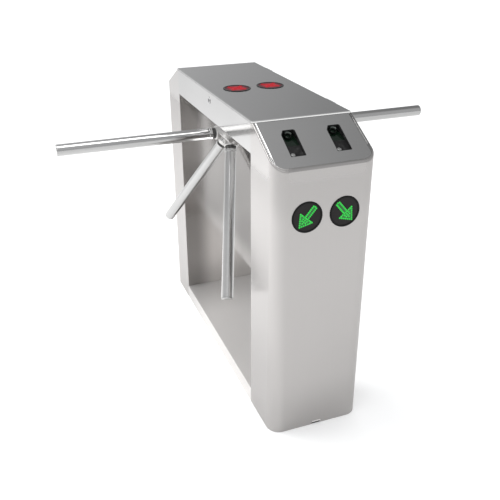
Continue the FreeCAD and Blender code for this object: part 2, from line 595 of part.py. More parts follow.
bezels, faces, leds = [], [], []
for x, sgn in ((-AR_X, -1), (AR_X, 1)):
    y = -L / 2
    ring = cyl(AR_R, (x, y - 1.6, AR_Z), (0, 1, 0), 1.6)
    ring = ring.makeFillet(1.2, [e for e in ring.Edges if len(e.Vertexes) == 1 and e.BoundBox.YMax < y - 1.5])
    ring = ring.fuse(cyl(AR_R - 3.7, (x, y - 0.5, AR_Z), (0, 1, 0), 14)).cut(cyl(AR_R - 5.5, (x, y - 5, AR_Z), (0, 1, 0), 30)).removeSplitter()
    face = cyl(AR_R - 5.6, (x, y - 0.4, AR_Z), (0, 1, 0), 3)
    c, d = math.cos(math.radians(ARROW_DIP)), math.sin(math.radians(ARROW_DIP))
    for p, q in arrow_dots():
        dx = sgn * c * p + d * q
        dz = -d * p + sgn * c * q
        o = (x + dx, y - 0.4, AR_Z + dz)
        leds.append(light(o, (0, -1, 0), ARROW_LED_R))
        face = face.cut(cyl(ARROW_LED_R, (o[0], y - 5, o[2]), (0, 1, 0), 12))
    bezels.append(ring)
    faces.append(face)
for name, items in (("arrow_bezels", bezels), ("arrow_faces", faces), ("arrow_leds", leds)):
    add(name, group(items + [mirror_y(s) for s in items]))

bezels, faces, leds = [], [], []
for x in (-CR_X, CR_X):
    ring = cyl(CR_R, (x, 0, H), Z, 1.6)
    ring = ring.makeFillet(1.2, [e for e in ring.Edges if len(e.Vertexes) == 1 and e.BoundBox.ZMin > H + 1.5])
    ring = ring.fuse(cyl(CR_R - 3.7, (x, 0, H - 14), Z, 14.5)).cut(cyl(CR_R - 5.5, (x, 0, H - 30), Z, 60)).removeSplitter()
    face = cyl(CR_R - 5.6, (x, 0, H - 2.6), Z, 3)
    step = [5.6 * (k + 0.5) for k in range(-6, 6)]
    dots = sorted({(p, q) for p in step for q in (-2.8, 2.8)} | {(q, p) for p in step for q in (-2.8, 2.8)})
    for p, q in dots:
        o = (x + (p + q) * math.sqrt(0.5), (p - q) * math.sqrt(0.5), H + 0.4)
        leds.append(light(o, Z, LED_R))
        face = face.cut(cyl(LED_R, (o[0], o[1], H - 20), Z, 40))
    bezels.append(ring)
    faces.append(face)
add("lamp_bezels", group(bezels))
add("lamp_faces", group(faces))
add("lamp_leds", group(leds))

# ---------------------------------------------------------------- base plates, electrics
base_in = rounded_plan(W - 2 * T - 1, L - 2 * T - 1, R - T - 0.5, 0, 6).common(box(-FAR, -FAR, -1, FAR, -YW - T - 0.5, 10))
for x in (-ANCHOR_X, ANCHOR_X):
    base_in = base_in.cut(cyl(ANCHOR_R, (x, -ANCHOR_Y, -1), Z, 20))
base_in = base_in.cut(cyl(24, (0, -ANCHOR_Y, -1), Z, 20)).cut(box(NOTCH_X - NOTCH_W / 2 - 1, -L / 2, -1, NOTCH_X + NOTCH_W / 2 + 1, -L / 2 + 12, 20))
add("base_plates", group(both_ends(base_in.removeSplitter())))
grommet = fuse([cyl(24, (0, -ANCHOR_Y, 0.6), Z, 5.4), cyl(28, (0, -ANCHOR_Y, 6), Z, 3)]).cut(cyl(19, (0, -ANCHOR_Y, -5), Z, 30))
add("cable_grommets", group(both_ends(grommet)))

yb = -YW - T
board = [box(-80, yb - 16, 520, 80, yb - 14.4, 760)]
for x0, z0, x1, z1, h in ((-72, 530, -30, 548, 12), (-20, 530, 24, 548, 12), (34, 530, 72, 548, 12), (-60, 580, -28, 612, 3), (-10, 600, 40, 660, 2.4),
                          (-70, 700, -40, 740, 18), (50, 690, 72, 740, 10)):
    board.append(box(x0, yb - 16 - h, z0, x1, yb - 15.8, z1))
for x in (-74, 74):
    for z in (526, 754):
        board.append(cyl(3, (x, yb - 15, z), (0, 1, 0), 15))
add("control_board", fuse(board))
psu = box(-55, YW + T, 540, 55, YW + T + 48, 740)
psu = psu.makeFillet(2, [e for e in psu.Edges if e.BoundBox.YMin > YW + T + 1])
for k in range(7):
    psu = psu.cut(box(-40, YW + T + 44, 580 + 20 * k, 40, YW + T + 60, 586 + 20 * k))
psu = psu.fuse(box(-45, YW + T + 5, 524, 45, YW + T + 30, 541)).removeSplitter()
add("power_supply", psu)

# ---------------------------------------------------------------- write
for name, shape in nodes.items():
    solids = shape.Solids
    print(name, len(solids), [round(v, 1) for v in (shape.BoundBox.XMin, shape.BoundBox.YMin, shape.BoundBox.ZMin, shape.BoundBox.XMax, shape.BoundBox.YMax, shape.BoundBox.ZMax)],
          "ok" if shape.isValid() and all(s.Volume > 0 for s in solids) else "BAD")
    shape.exportStep("parts/%s.step" % name)
print(len(nodes), "nodes")
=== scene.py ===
import math

import bmesh
import bpy
from mathutils import Matrix, Vector


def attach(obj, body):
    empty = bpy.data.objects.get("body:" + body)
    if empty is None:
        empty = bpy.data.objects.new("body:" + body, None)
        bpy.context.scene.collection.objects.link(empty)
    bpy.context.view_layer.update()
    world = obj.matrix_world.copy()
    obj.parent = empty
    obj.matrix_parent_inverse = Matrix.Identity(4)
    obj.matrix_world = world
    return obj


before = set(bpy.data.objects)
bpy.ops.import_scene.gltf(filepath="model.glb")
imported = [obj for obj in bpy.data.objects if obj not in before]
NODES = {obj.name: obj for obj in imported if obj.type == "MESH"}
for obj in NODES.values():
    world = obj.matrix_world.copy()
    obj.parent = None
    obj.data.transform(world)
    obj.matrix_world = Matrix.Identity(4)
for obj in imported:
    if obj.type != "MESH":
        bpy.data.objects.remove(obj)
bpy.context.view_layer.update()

scene = bpy.context.scene


# ---------------------------------------------------------------- node material helpers
class Mat:
    """A node material around one Principled shader."""

    def __init__(self, name, metallic=0.0, roughness=0.5, color=None, **sockets):
        self.m = bpy.data.materials.new(name)
        self.m.use_nodes = True
        self.t = self.m.node_tree
        self.b = self.t.nodes["Principled BSDF"]
        self.b.inputs["Metallic"].default_value = metallic
        self.b.inputs["Roughness"].default_value = roughness
        if color:
            self.b.inputs["Base Color"].default_value = (*color, 1.0)
        for k, v in sockets.items():
            self.b.inputs[k.replace("_", " ")].default_value = v
        self._object = None

    def node(self, kind, **inputs):
        n = self.t.nodes.new("ShaderNode" + kind)
        for k, v in inputs.items():
            n.inputs[k.replace("_", " ")].default_value = v
        return n

    def link(self, a, b):
        self.t.links.new(a, b)

    def coords(self):
        if self._object is None:
            self._object = self.node("TexCoord").outputs["Object"]
        return self._object

    def mapped(self, scale, offset=(0, 0, 0)):
        n = self.node("Mapping")
        n.inputs["Scale"].default_value = scale
        n.inputs["Location"].default_value = offset
        self.link(self.coords(), n.inputs["Vector"])
        return n.outputs["Vector"]

    def noise(self, scale, detail=3.0, rough=0.5, offset=(0, 0, 0), distortion=0.0):
        """Noise in object space; scale is per metre along x, y and z."""
        n = self.node("TexNoise", Scale=1.0, Detail=detail, Roughness=rough, Distortion=distortion)
        self.link(self.mapped(scale, offset), n.inputs["Vector"])
        return n.outputs["Fac"]

    def voronoi(self, scale, feature="F1"):
        n = self.node("TexVoronoi", Scale=1.0)
        n.feature = feature
        self.link(self.mapped(scale), n.inputs["Vector"])
        return n.outputs["Distance"]

    def ramp(self, fac, stops):
        n = self.t.nodes.new("ShaderNodeValToRGB")
        e = n.color_ramp.elements
        while len(e) > 2:
            e.remove(e[-1])
        for i, (p, c) in enumerate(stops):
            s = e[i] if i < 2 else e.new(p)
            s.position = p
            s.color = (*c, 1.0) if len(c) == 3 else c
        self.link(fac, n.inputs["Fac"])
        return n.outputs["Color"]

    def span(self, fac, a, b, lo=0.0, hi=1.0):
        n = self.t.nodes.new("ShaderNodeMapRange")
        n.inputs["From Min"].default_value = lo
        n.inputs["From Max"].default_value = hi
        n.inputs["To Min"].default_value = a
        n.inputs["To Max"].default_value = b
        self.link(fac, n.inputs["Value"])
        return n.outputs["Result"]

    def smooth(self, fac, lo, hi):
        """0 at lo, 1 at hi, eased; lo may be the larger."""
        n = self.t.nodes.new("ShaderNodeMapRange")
        n.interpolation_type = "SMOOTHSTEP"
        flip = lo > hi
        n.inputs["From Min"].default_value = min(lo, hi)
        n.inputs["From Max"].default_value = max(lo, hi)
        n.inputs["To Min"].default_value = 1.0 if flip else 0.0
        n.inputs["To Max"].default_value = 0.0 if flip else 1.0
        self.link(fac, n.inputs["Value"])
        return n.outputs["Result"]

    def math(self, op, a, b=None):
        n = self.t.nodes.new("ShaderNodeMath")
        n.operation = op
        for i, v in enumerate((a, b)):
            if v is None:
                continue
            if isinstance(v, (int, float)):
                n.inputs[i].default_value = v
            else:
                self.link(v, n.inputs[i])
        return n.outputs["Value"]

    def mix(self, fac, a, b, blend="MIX"):
        n = self.t.nodes.new("ShaderNodeMix")
        n.data_type = "RGBA"
        n.blend_type = blend
        ins = [s for s in n.inputs if s.enabled]
        for s, v in zip(ins, (fac, a, b)):
            if isinstance(v, (int, float)):
                s.default_value = v
            elif isinstance(v, tuple):
                s.default_value = (*v, 1.0)
            else:
                self.link(v, s)
        return [s for s in n.outputs if s.enabled][0]

    def bump(self, height, strength, distance):
        n = self.node("Bump", Strength=strength, Distance=distance)
        self.link(height, n.inputs["Height"])
        self.link(n.outputs["Normal"], self.b.inputs["Normal"])

    def set(self, socket, value):
        self.link(value, self.b.inputs[socket])

    def along(self, way):
        """Position along a direction."""
        n = self.t.nodes.new("ShaderNodeVectorMath")
        n.operation = "DOT_PRODUCT"
        self.link(self.coords(), n.inputs[0])
        n.inputs[1].default_value = way
        return n.outputs["Value"]

    def axis(self, which):
        n = self.node("SeparateXYZ")
        self.link(self.coords(), n.inputs["Vector"])
        return n.outputs[which]


def stainless(name, base, rough, along, spread=0.02, tone=0.014, bump=0.02, metallic=1.0, aniso=0.0, bright=None, painted_light_tones=()):
    """Satin stainless sheet. along is the brushing direction: x, y or z. bright = (z0, z1, roughness there): buffed
    from z0 up, but for the corners.
    Painted light and shade: each (gain, [(direction, from, to), ...]) makes a paler or darker colour where all of these
    run from 0 to 1."""
    fine, coarse, fade = [1100.0] * 3, [170.0] * 3, [9.0] * 3
    i = "xyz".index(along)
    fine[i], coarse[i], fade[i] = 5.0, 1.6, 1.1
    m = Mat(name, metallic=metallic, Anisotropic=aniso)
    hair = m.noise(tuple(fine), 4.0, 0.62)
    band = m.noise(tuple(coarse), 3.0, 0.55, (3.1, 1.7, 2.3))
    cloud = m.noise(tuple(fade), 3.0, 0.5, (7.0, 5.0, 1.0))
    mixed = m.math("ADD", m.math("MULTIPLY", hair, 0.35), m.math("ADD", m.math("MULTIPLY", band, 0.3), m.math("MULTIPLY", cloud, 0.35)))
    lo = tuple(c * (1 - tone) for c in base)
    hi = tuple(min(1.0, c * (1 + tone)) for c in base)
    tint = m.ramp(mixed, [(0.32, lo), (0.68, hi)])
    # painted light and shade: each gain scales the colour in its region
    for gain, limits in painted_light_tones:
        where = None
        for way, v0, v1 in limits:
            f = m.smooth(m.along(way), v0, v1)
            where = f if where is None else m.math("MULTIPLY", where, f)
        tint = m.mix(where, tint, m.mix(1.0, tint, (gain, gain, gain), "MULTIPLY"))
    m.set("Base Color", tint)
    even = m.span(mixed, rough - spread, rough + spread, 0.3, 0.7)
    if bright:
        z0, z1, buffed = bright
        corner = m.math("MULTIPLY", m.smooth(m.math("ABSOLUTE", m.axis("X")), 0.098, 0.128), m.smooth(m.math("ABSOLUTE", m.axis("Y")), 0.5, 0.53))
        where = m.math("MULTIPLY", m.smooth(m.axis("Z"), z0, z1), m.math("SUBTRACT", 1.0, corner))
        even = m.math("ADD", even, m.math("MULTIPLY", where, buffed - rough))
    m.set("Roughness", even)
    m.bump(hair, bump, 0.0002)
    return m.m


# ---------------------------------------------------------------- materials
STEEL = (0.452, 0.437, 0.428)
COOL = (0.518, 0.514, 0.51)
# upright shells: painted shade on the right fold by the front slope and at the foot and top of the front face, painted
# light on the left side at mid height, a painted highlight on the notch lips
steel_z = stainless("satin_stainless_upright", STEEL, 0.32, "z", aniso=0.9, bright=(0.84, 0.876, 0.14),
                    painted_light_tones=[(0.72, [((1, 0, 0), 0.1495, 0.1515), ((0, -0.4597, 0.8881), 1.0405, 1.043)]),
                           (0.91, [((0, 0, 1), 0.2, 0.05), ((0, -1, 0), 0.525, 0.55)]),
                           (1.085, [((-1, 0, 0), 0.12, 0.15), ((0, 0, 1), 0.2, 0.4), ((0, 0, 1), 0.84, 0.72), ((0, -1, 0), 0.3, 0.36)]),
                           (0.94, [((0, 0, 1), 0.72, 0.8), ((0, -1, 0), 0.525, 0.55)]),
                           (2.0, [((0, -1, 0), 0.558, 0.5584)]), (2.0, [((0, 1, 0), 0.558, 0.5584)])])
# side rails: painted shade towards the back end, painted light towards the front end
steel_rail = stainless("satin_stainless_rail", (0.451, 0.447, 0.444), 0.12, "y", painted_light_tones=[(0.91, [((0, 1, 0), 0.1, 0.36)]), (1.06, [((0, -1, 0), 0.2, 0.36)])])
# lid: a painted highlight along its front and back edges, in place of a rolled edge
steel_y = stainless("satin_stainless_along", (0.488, 0.484, 0.48), 0.16, "y", painted_light_tones=[(1.55, [((0, -1, 0), 0.381, 0.3825)]), (1.55, [((0, 1, 0), 0.381, 0.3825)])])
# reader panels and beads: painted shade along the right edges, and along the left edge near the lower front corner
steel_x = stainless("satin_stainless_across", COOL, 0.16, "x", painted_light_tones=[(0.8, [((1, 0, 0), 0.1432, 0.1452)]),
                              (0.6, [((-1, 0, 0), 0.142, 0.144), ((0, -1, 0), 0.502, 0.512)])])
# soffit: a paler copy of the stainless, painted light in the shade under the bridge
steel_soffit = stainless("satin_stainless_soffit", (0.74, 0.735, 0.73), 0.3, "y")
# niche walls: painted reflection and shade, paler low in the middle, darker on the right both low and high
steel_wall = stainless("satin_stainless_wall", (0.418, 0.404, 0.394), 0.12, "x", painted_light_tones=[(1.9, [((1.24, 0, 1), 0.38, 0.22), ((1, 0, 0), -0.115, -0.03)]),
                              (0.82, [((0, 0, 1), 0.5, 0.27), ((1, 0, 0), 0.03, 0.1)]),
                              (0.89, [((1, 0, 0), -0.02, 0.05), ((0, 0, 1), 0.36, 0.5)])])
# tray: a paler copy of the stainless as painted light, with painted shade towards the back under the wall
steel_base = stainless("satin_stainless_tray", (0.69, 0.67, 0.655), 0.4, "y", 0.03, 0.02, 0.05, 0.6, painted_light_tones=[(0.76, [((0, 1, 0), 0.1, 0.34)])])


def polished(name, base=(0.454, 0.452, 0.449), rough=0.12, low=None):
    """Polished tube. low = (z0, z1, gain): painted light, a paler colour towards z1."""
    m = Mat(name, metallic=1.0)
    a = m.noise((60, 60, 60), 4.0, 0.6)
    b = m.noise((1500, 1500, 1500), 2.0, 0.5, (4, 2, 9))
    f = m.math("ADD", m.math("MULTIPLY", a, 0.6), m.math("MULTIPLY", b, 0.4))
    tint = m.ramp(f, [(0.3, tuple(c * 0.95 for c in base)), (0.7, base)])
    # painted light: the colour grows paler towards z1 by the gain
    if low:
        tint = m.mix(m.smooth(m.axis("Z"), low[0], low[1]), tint, m.mix(1.0, tint, (low[2],) * 3, "MULTIPLY"))
    m.set("Base Color", tint)
    m.set("Roughness", m.span(f, rough - 0.03, rough + 0.03, 0.3, 0.7))
    m.bump(b, 0.02, 0.0001)
    return m.m


arm_steel = polished("polished_stainless")
# front arms: rougher, with painted light making them paler low down
arm_satin = polished("polished_stainless_satin_painted_light", (0.44, 0.437, 0.433), 0.22, (0.68, 0.54, 1.22))


def cast_metal(name, base, rough, grain=900.0, tone=0.12, bump=0.15, metallic=1.0):
    m = Mat(name, metallic=metallic)
    a = m.noise((grain,) * 3, 5.0, 0.6)
    b = m.noise((25, 25, 25), 3.0, 0.5, (2, 8, 3))
    f = m.math("ADD", m.math("MULTIPLY", a, 0.5), m.math("MULTIPLY", b, 0.5))
    m.set("Base Color", m.ramp(f, [(0.3, tuple(c * (1 - tone) for c in base)), (0.7, base)]))
    m.set("Roughness", m.span(f, rough - 0.06, rough + 0.06, 0.3, 0.7))
    m.bump(a, bump, 0.0003)
    return m.m


hub_metal = cast_metal("cast_hub", (0.56, 0.55, 0.54), 0.3, 700.0, 0.06, 0.06)
machined = cast_metal("machined_steel", (0.56, 0.56, 0.57), 0.32, 1200.0, 0.1, 0.08)
iron = cast_metal("cast_iron_grey", (0.2, 0.21, 0.22), 0.62, 500.0, 0.25, 0.4, 0.6)
plated = cast_metal("lock_chrome", (0.5, 0.5, 0.5), 0.26, 900.0, 0.06, 0.04)
plug_metal = cast_metal("lock_plug_dark", (0.12, 0.12, 0.122), 0.34, 1400.0, 0.15, 0.06)
alu = cast_metal("psu_aluminium", (0.62, 0.62, 0.63), 0.38, 800.0, 0.08, 0.1)


def plastic(name, dark, light, rough, grain=1400.0, bump=0.1, spec=0.5, coat=0.0):
    m = Mat(name, Coat_Weight=coat, Coat_Roughness=0.08)
    m.b.inputs["Specular IOR Level"].default_value = spec
    a = m.noise((grain,) * 3, 4.0, 0.6)
    b = m.noise((18, 18, 18), 3.0, 0.5, (1, 6, 2))
    f = m.math("ADD", m.math("MULTIPLY", a, 0.5), m.math("MULTIPLY", b, 0.5))
    m.set("Base Color", m.ramp(f, [(0.3, dark), (0.7, light)]))
    m.set("Roughness", m.span(f, rough - 0.06, rough + 0.08, 0.3, 0.7))
    m.bump(a, bump, 0.0002)
    return m.m


black_gloss = plastic("black_gloss", (0.003, 0.003, 0.003), (0.006, 0.006, 0.006), 0.2, 900.0, 0.02, 0.14)
black_matt = plastic("black_matt", (0.02, 0.02, 0.022), (0.05, 0.05, 0.055), 0.55)
display_black = plastic("display_black", (0.008, 0.007, 0.007), (0.015, 0.013, 0.013), 0.34, 700.0, 0.03, 0.2)
# bushes: black rubber, and painted shade of the arm necks
dark_bush_and_neck_shade = plastic("bush_rubber_and_neck_shade", (0.03, 0.03, 0.029), (0.06, 0.06, 0.058), 0.6, 900.0, 0.15)
rubber = plastic("black_rubber", (0.018, 0.018, 0.018), (0.035, 0.035, 0.034), 0.72, 900.0, 0.2)


def ringed_lamp():
    """Status lamps of the readers: a pale crown, and a dark ring round it painted as the shade in the gap round the
    lamp. The lamps lie 140 mm apart, on both slopes.
    """
    m = Mat("lamp_white", roughness=0.3)
    sa = math.atan2(88.0, 170.0)
    wrap = m.node("Math")
    wrap.operation = "WRAP"
    m.link(m.axis("X"), wrap.inputs[0])
    wrap.inputs[1].default_value, wrap.inputs[2].default_value = -0.0125, -0.1525
    a = m.math("ADD", wrap.outputs["Value"], 0.0825)
    y = m.math("SUBTRACT", 0.4705, m.math("ABSOLUTE", m.axis("Y")))
    z = m.math("SUBTRACT", m.axis("Z"), 0.976 - 0.0825 * math.tan(sa))
    b = m.math("ADD", m.math("ADD", m.math("MULTIPLY", y, math.cos(sa)), m.math("MULTIPLY", z, math.sin(sa))), 0.0423)
    r = m.math("SQRT", m.math("ADD", m.math("MULTIPLY", a, a), m.math("MULTIPLY", b, b)))
    grain = m.noise((700, 700, 700), 3.0)
    crown = m.ramp(grain, [(0.3, (0.17, 0.17, 0.17)), (0.7, (0.22, 0.22, 0.215))])
    ring = m.ramp(grain, [(0.3, (0.015, 0.015, 0.015)), (0.7, (0.03, 0.03, 0.03))])
    # painted shade: the dark ring round the crown
    m.set("Base Color", m.mix(m.smooth(r, 0.0056, 0.0063), crown, ring))
    m.bump(grain, 0.03, 0.0002)
    return m.m


lamp_white = ringed_lamp()


def reader_plastic():
    """Dark moulded plastic with paler patches at random."""
    m = Mat("reader_dark")
    m.b.inputs["Specular IOR Level"].default_value = 0.13
    grain = m.noise((1100, 1100, 1100), 4.0, 0.6)
    paler_patches = m.noise((95, 70, 70), 3.0, 0.55, (2.4, 0.7, 1.1))
    f = m.math("ADD", m.math("MULTIPLY", grain, 0.25), m.math("MULTIPLY", paler_patches, 0.75))
    m.set("Base Color", m.ramp(f, [(0.36, (0.004, 0.004, 0.004)), (0.56, (0.012, 0.012, 0.012)), (0.68, (0.036, 0.036, 0.036))]))
    m.set("Roughness", m.span(f, 0.36, 0.5, 0.3, 0.7))
    m.bump(grain, 0.08, 0.0002)
    return m.m


reader_dark = reader_plastic()


def reader_glass():
    m = Mat("reader_glass")
    m.b.inputs["Specular IOR Level"].default_value = 0.12
    f = m.noise((35, 35, 35), 3.0, 0.5)
    m.set("Base Color", m.ramp(f, [(0.3, (0.002, 0.006, 0.003)), (0.7, (0.005, 0.012, 0.007))]))
    m.set("Roughness", m.span(f, 0.05, 0.12, 0.3, 0.7))
    return m.m


glass = reader_glass()
barrel_black = plastic("scanner_barrel", (0.002, 0.003, 0.002), (0.005, 0.006, 0.005), 0.45, 1200.0, 0.05, 0.12)
# scanner hood: its pale grey is a painted highlight
hood_painted_highlight = plastic("scanner_hood", (0.05, 0.06, 0.054), (0.12, 0.135, 0.125), 0.4, 900.0, 0.06, 0.3)


def led(name, core, rim, strength, rough=0.25, spec=0.5):
    """Lit dome: brighter and deeper tones at random, from noise in object space."""
    m = Mat(name, roughness=rough)
    m.b.inputs["Specular IOR Level"].default_value = spec
    f = m.noise((500, 500, 500), 2.0, 0.5)
    m.set("Base Color", m.ramp(f, [(0.3, tuple(0.12 * v for v in rim)), (0.7, tuple(0.2 * v for v in core))]))
    m.set("Emission Color", m.ramp(f, [(0.3, rim), (0.7, core)]))
    m.b.inputs["Emission Strength"].default_value = strength
    return m.m


green = led("green_led", (0.066, 0.76, 0.115), (0.012, 0.5, 0.04), 0.9, 0.35, 0.2)
red = led("red_led", (0.62, 0.035, 0.048), (0.46, 0.024, 0.034), 0.72, 0.5, 0.05)



def glow_plate():
    """Diffuser between the lights of an arrow: dim green, uneven."""
    m = Mat("green_glow", roughness=0.45)
    f = m.noise((220, 220, 220), 3.0, 0.5)
    m.set("Base Color", m.ramp(f, [(0.3, (0.004, 0.02, 0.006)), (0.7, (0.008, 0.04, 0.012))]))
    m.set("Emission Color", m.ramp(f, [(0.32, (0.003, 0.06, 0.01)), (0.68, (0.006, 0.13, 0.02))]))
    m.b.inputs["Emission Strength"].default_value = 1.0
    return m.m


green_glow = glow_plate()


def lit_cover():
    """Smoked cover of the top lamps: the red of the lights spreads in it and fades to the rim."""
    m = Mat("lamp_cover", roughness=0.5)
    m.b.inputs["Specular IOR Level"].default_value = 0.05
    dx = m.math("SUBTRACT", m.math("ABSOLUTE", m.axis("X")), 0.059)
    y = m.axis("Y")
    r = m.math("SQRT", m.math("ADD", m.math("MULTIPLY", dx, dx), m.math("MULTIPLY", y, y)))
    grain = m.noise((300, 300, 300), 3.0)
    glow = m.span(m.math("ADD", r, m.math("MULTIPLY", grain, 0.004)), 0.0, 1.0, 0.004, 0.044)
    m.set("Emission Color", m.ramp(glow, [(0.0, (0.56, 0.028, 0.04)), (0.4, (0.4, 0.022, 0.03)), (0.72, (0.12, 0.02, 0.028)), (1.0, (0.05, 0.024, 0.03))]))
    m.b.inputs["Emission Strength"].default_value = 1.0
    m.set("Base Color", m.ramp(grain, [(0.3, (0.012, 0.008, 0.008)), (0.7, (0.024, 0.014, 0.014))]))
    return m.m


cover = lit_cover()


def board():
    m = Mat("board_green", roughness=0.45)
    y = m.axis("Y")
    cells = m.voronoi((130, 20, 130))
    trace = m.ramp(cells, [(0.12, (0.35, 0.28, 0.08)), (0.2, (0.02, 0.16, 0.07))])
    part = m.ramp(m.noise((60, 60, 60), 2.0), [(0.35, (0.02, 0.02, 0.022)), (0.65, (0.12, 0.12, 0.13))])
    m.set("Base Color", m.mix(m.math("GREATER_THAN", y, -0.3968), part, trace))
    m.bump(cells, 0.2, 0.0003)
    return m.m


# ---------------------------------------------------------------- which node wears what
WEAR = {
    steel_z: ["front_pedestal_shell", "rear_pedestal_shell"],
    steel_rail: ["left_side_rail", "right_side_rail"],
    steel_y: ["top_lid"],
    steel_soffit: ["bridge_soffit"],
    steel_x: ["reader_panels"],
    steel_wall: ["inner_panels"],
    steel_base: ["base_tray"],
    arm_steel: [s + "arm_" + a for s in ("left_", "right_") for a in ("top", "rear", "plugs")] + ["left_hub_cap", "right_hub_cap"],
    arm_satin: ["left_arm_front", "right_arm_front"],
    hub_metal: ["left_hub", "right_hub"],
    machined: ["mechanism_plates", "mechanism_fasteners", "pawl_posts", "ball_bearings", "base_plates", "lid_catch", "lock_cam", "body_hinge_leaves",
               "lid_hinge_leaves", "hinge_pins", "left_shaft", "right_shaft", "left_index_disc", "right_index_disc"]
    + [f"{s}_{e}_{p}" for s in ("left", "right") for e in ("front", "rear") for p in ("pawl", "plunger")],
    iron: ["bearing_housings"],
    plated: ["lock_barrel"],
    plug_metal: ["lock_plug"],
    black_gloss: ["arrow_bezels", "lamp_bezels"],
    display_black: ["arrow_faces"],
    cover: ["lamp_faces"],
    reader_dark: ["reader_trays"],
    glass: ["reader_windows"],
    lamp_white: ["reader_lamps"],
    green: ["arrow_leds"],
    red: ["lamp_leds"],
    black_matt: ["solenoids"],
    rubber: ["cable_grommets"],
    board(): ["control_board"],
    alu: ["power_supply"],
}
for material, names in WEAR.items():
    for n in names:
        mesh = NODES[n].data
        mesh.materials.clear()
        mesh.materials.append(material)

# ---------------------------------------------------------------- small pieces on the frame
def piece(name, parts, material, body, sharp=35.0):
    """One object from several (vertices, faces) sets."""
    bm = bmesh.new()
    for verts, faces in parts:
        vs = [bm.verts.new(v) for v in verts]
        for f in faces:
            bm.faces.new([vs[i] for i in f])
    bmesh.ops.recalc_face_normals(bm, faces=bm.faces)
    mesh = bpy.data.meshes.new(name)
    bm.to_mesh(mesh)
    bm.free()
    mesh.polygons.foreach_set("use_smooth", [True] * len(mesh.polygons))
    mesh.set_sharp_from_angle(angle=math.radians(sharp))
    mesh.materials.append(material)
    o = bpy.data.objects.new(name, mesh)
    scene.collection.objects.link(o)
    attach(o, body)
    return o


def lathe(profile, place, n=40, start=0.0, sweep=360.0):
    """A closed section (radius, height) turned about the height axis; a part turn gets end caps. place(a, b, c) puts it."""
    whole = abs(sweep - 360.0) < 1e-6
    steps = n if whole else n + 1
    m = len(profile)
    verts = []
    for i in range(steps):
        t = math.radians(start + sweep * i / n)
        for r, h in profile:
            verts.append(place(r * math.cos(t), r * math.sin(t), h))
    faces = []
    for i in range(n):
        j = (i + 1) % steps
        for k in range(m):
            q = (k + 1) % m
            faces.append((i * m + k, i * m + q, j * m + q, j * m + k))
    if not whole:
        faces.append(tuple(range(m)))
        faces.append(tuple(n * m + k for k in range(m)))
    return verts, faces


def dome(radius, low, top, place, rings=7, n=36):
    """A closed lens: a crowned face over a flat back."""
    verts = [place(0, 0, top)]
    for i in range(1, rings + 1):
        a = math.pi / 2 * i / rings
        for k in range(n):
            t = 2 * math.pi * k / n
            verts.append(place(radius * math.sin(a) * math.cos(t), radius * math.sin(a) * math.sin(t), low + (top - low) * math.cos(a)))
    faces = [(0, 1 + k, 1 + (k + 1) % n) for k in range(n)]
    for i in range(rings - 1):
        for k in range(n):
            q = (k + 1) % n
            faces.append((1 + i * n + k, 1 + (i + 1) * n + k, 1 + (i + 1) * n + q, 1 + i * n + q))
    faces.append(tuple(1 + (rings - 1) * n + k for k in range(n)))
    return verts, faces


# scanners in the readers: barrel, lens and a hood round its upper side, its pale grey a painted highlight arc over the
# lens
SLOPE_ANGLE = math.atan2(88.0, 170.0)
READER_Y, READER_Z = 470.5, 976.0 - (470.5 - 388.0) * math.tan(SLOPE_ANGLE)


def in_reader(x, end, a0, b0):
    """Millimetres right, up the slope and out of it, about a point of one reader."""
    cs, sn = math.cos(SLOPE_ANGLE), math.sin(SLOPE_ANGLE)

    def place(a, b, c):
        a, b = a + a0, b + b0
        return Vector((x + a, end * (READER_Y - b * cs + c * sn), READER_Z + b * sn + c * cs)) / 1000.0
    return place


barrels, lenses, hoods = [], [], []
for x in (-70.0, 70.0):
    for end in (-1.0, 1.0):
        at = in_reader(x, end, 3.0, 36.4)
        barrels.append(lathe([(8.0, -17.5), (10.2, -17.5), (10.2, -7.7), (9.9, -7.0), (9.5, -6.7), (8.7, -6.9), (8.2, -7.7), (8.0, -8.7)], at))
        lenses.append(dome(7.9, -12.5, -9.6, at))
        hoods.append(lathe([(10.3, -15.0), (12.8, -15.0), (12.8, -4.4), (12.3, -3.4), (11.5, -3.1), (10.8, -3.5), (10.3, -4.4)], at, 26, 20.0, 92.0))
piece("reader_scanner_barrels", barrels, barrel_black, "cabinet")
piece("reader_scanner_lenses", lenses, glass, "cabinet")
piece("reader_scanner_hoods", hoods, hood_painted_highlight, "cabinet")


